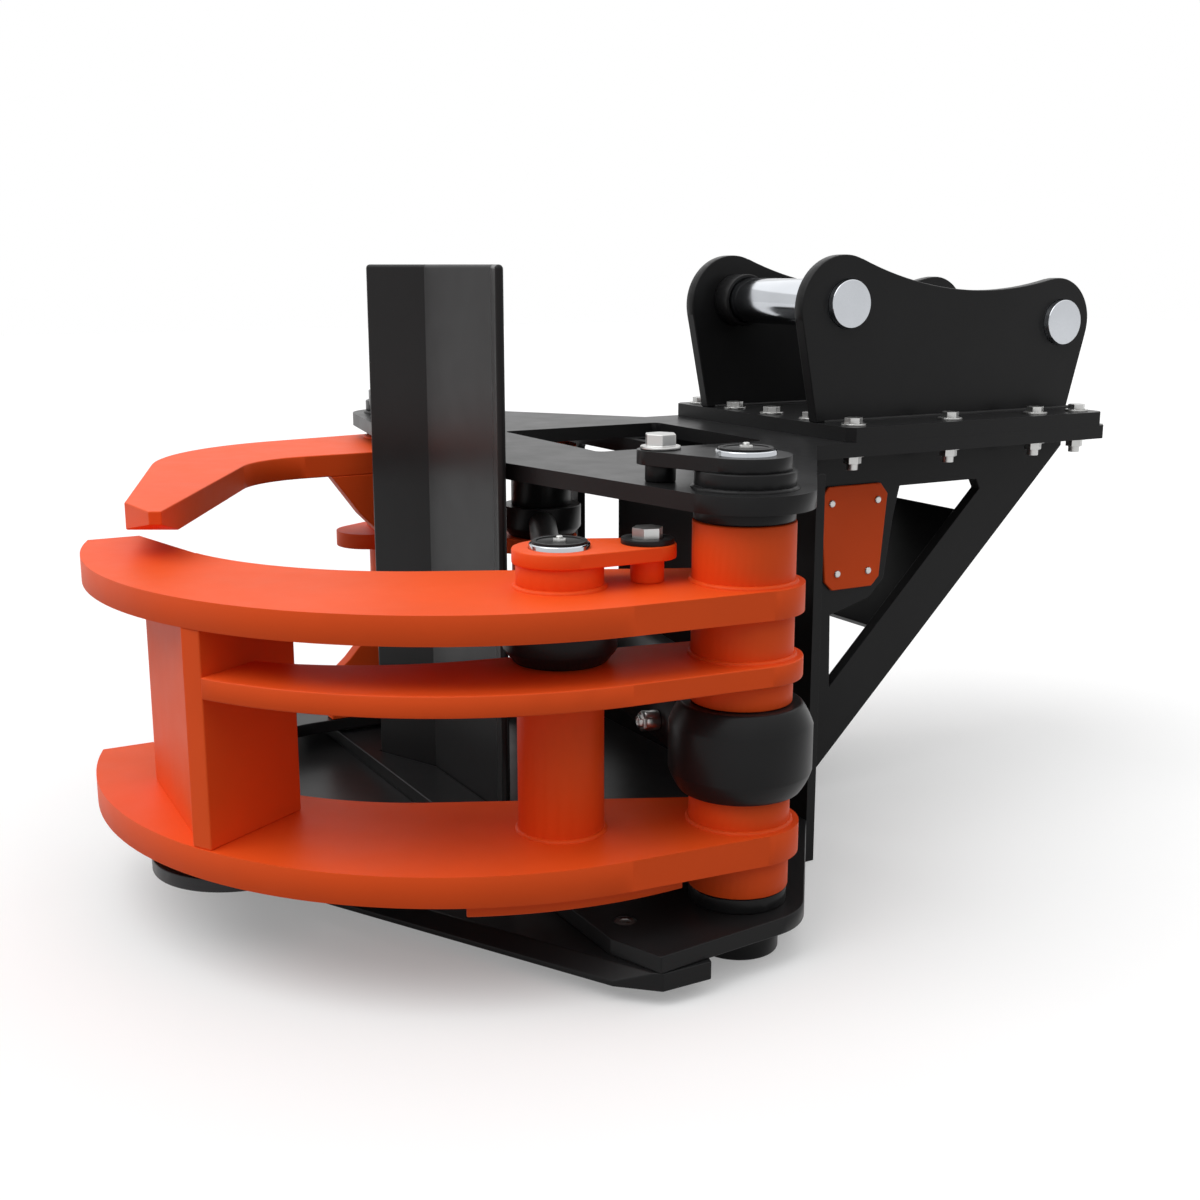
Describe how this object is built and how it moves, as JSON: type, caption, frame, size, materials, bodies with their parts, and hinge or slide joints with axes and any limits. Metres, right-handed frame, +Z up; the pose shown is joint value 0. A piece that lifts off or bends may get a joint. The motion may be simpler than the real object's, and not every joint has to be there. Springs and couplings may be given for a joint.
{
  "type": "excavator tree shear",
  "caption": "Tree shear attachment: two crossing curved arms with knives on a welded frame with an upright tree rest and a bolted pin hitch.",
  "frame": {"origin": "on the ground under the heel plate, midway between the arm pivots and 196 mm behind them", "axes": "+X across the machine to the near side, -Y out of the mouth, +Y to the hitch, +Z up along the arm pivots"},
  "size_m": [0.88, 1.1169, 0.587],
  "materials": {
    "orange_paint": "satin",
    "black_paint": "satin",
    "chrome": "polished",
    "zinc": "satin",
    "knife_steel": "satin"
  },
  "bodies": {
    "frame": {"top_plate": "black_paint", "bottom_plate": "black_paint", "skid_plate": "black_paint", "back_plate": "black_paint", "gusset_right": "black_paint", "gusset_left": "black_paint", "brace_plate": "black_paint", "tree_rest": "black_paint", "top_collars": "black_paint", "foot_collars": "black_paint", "top_bushes": "black_paint", "foot_bushes": "black_paint", "hitch_flange": "black_paint", "ear_right": "black_paint", "ear_left": "black_paint", "hitch_pin_front": "chrome", "hitch_pin_rear": "chrome", "ear_bosses": "black_paint", "flange_bolts": "zinc", "flange_nuts": "zinc", "pivot_pin_right": "chrome", "pivot_pin_left": "chrome", "pivot_keepers": "black_paint", "keeper_spacers": "black_paint", "keeper_bolts": "zinc", "crest_plate": "orange_paint", "crest_rivets": "zinc", "foot_bolts": "zinc", "heel_plate": "black_paint"},
    "far_arm": {"far_top_plate": "orange_paint", "far_mid_plate": "orange_paint", "far_bottom_plate": "black_paint", "far_web": "orange_paint", "far_bosses": "orange_paint", "far_pin_tube": "orange_paint", "far_knife": "knife_steel", "far_lever_pin": "chrome", "far_keeper": "orange_paint"},
    "near_arm": {"near_top_plate": "orange_paint", "near_mid_plate": "orange_paint", "near_bottom_plate": "orange_paint", "near_web_outer": "orange_paint", "near_web_tip": "orange_paint", "near_bosses": "orange_paint", "near_pin_tube": "orange_paint", "near_knife": "knife_steel", "near_knife_pad": "orange_paint", "near_link_pin": "chrome", "near_keeper": "orange_paint", "near_keeper_bolt": "zinc"},
    "link": {"link_bar": "black_paint", "link_eye_near": "black_paint", "link_eye_far": "black_paint", "link_spacer": "black_paint"},
    "barrel": {"cylinder_barrel": "black_paint", "cylinder_base_eye": "black_paint", "cylinder_gland": "black_paint", "cylinder_ports": "zinc"},
    "rod": {"cylinder_rod": "chrome", "cylinder_rod_eye": "black_paint"}
  },
  "joints": [
    {"name": "far_arm_swing", "type": "hinge", "parent": "frame", "child": "far_arm", "pos_m": [-0.37, -0.196, 0.2], "axis": [0, 0, 1], "range_deg": [-22, 0]},
    {"name": "near_arm_swing", "type": "hinge", "parent": "frame", "child": "near_arm", "pos_m": [0.37, -0.196, 0.2], "axis": [0, 0, 1], "range_deg": [-0.5, 22.23]},
    {"name": "link_swing", "type": "hinge", "parent": "far_arm", "child": "link", "pos_m": [-0.215, -0.082, 0.28], "axis": [0, 0, 1], "range_deg": [-0.5, 28.2]},
    {"name": "barrel_swing", "type": "hinge", "parent": "frame", "child": "barrel", "pos_m": [0.37, -0.196, 0.182], "axis": [0, 0, 1], "range_deg": [-0.5, 6.39]},
    {"name": "rod_slide", "type": "slide", "parent": "barrel", "child": "rod", "axis": [-0.9815, 0.1913, 0], "range_m": [-0.0439, 0.001]}
  ],
  "couplings": [
    {"joint": "near_arm_swing", "follows": "far_arm_swing", "ratio": -0.9877},
    {"joint": "link_swing", "follows": "far_arm_swing", "ratio": -1.2593},
    {"joint": "barrel_swing", "follows": "far_arm_swing", "ratio": -0.2677},
    {"joint": "rod_slide", "follows": "far_arm_swing", "m_per_rad": 0.1117}
  ]
}
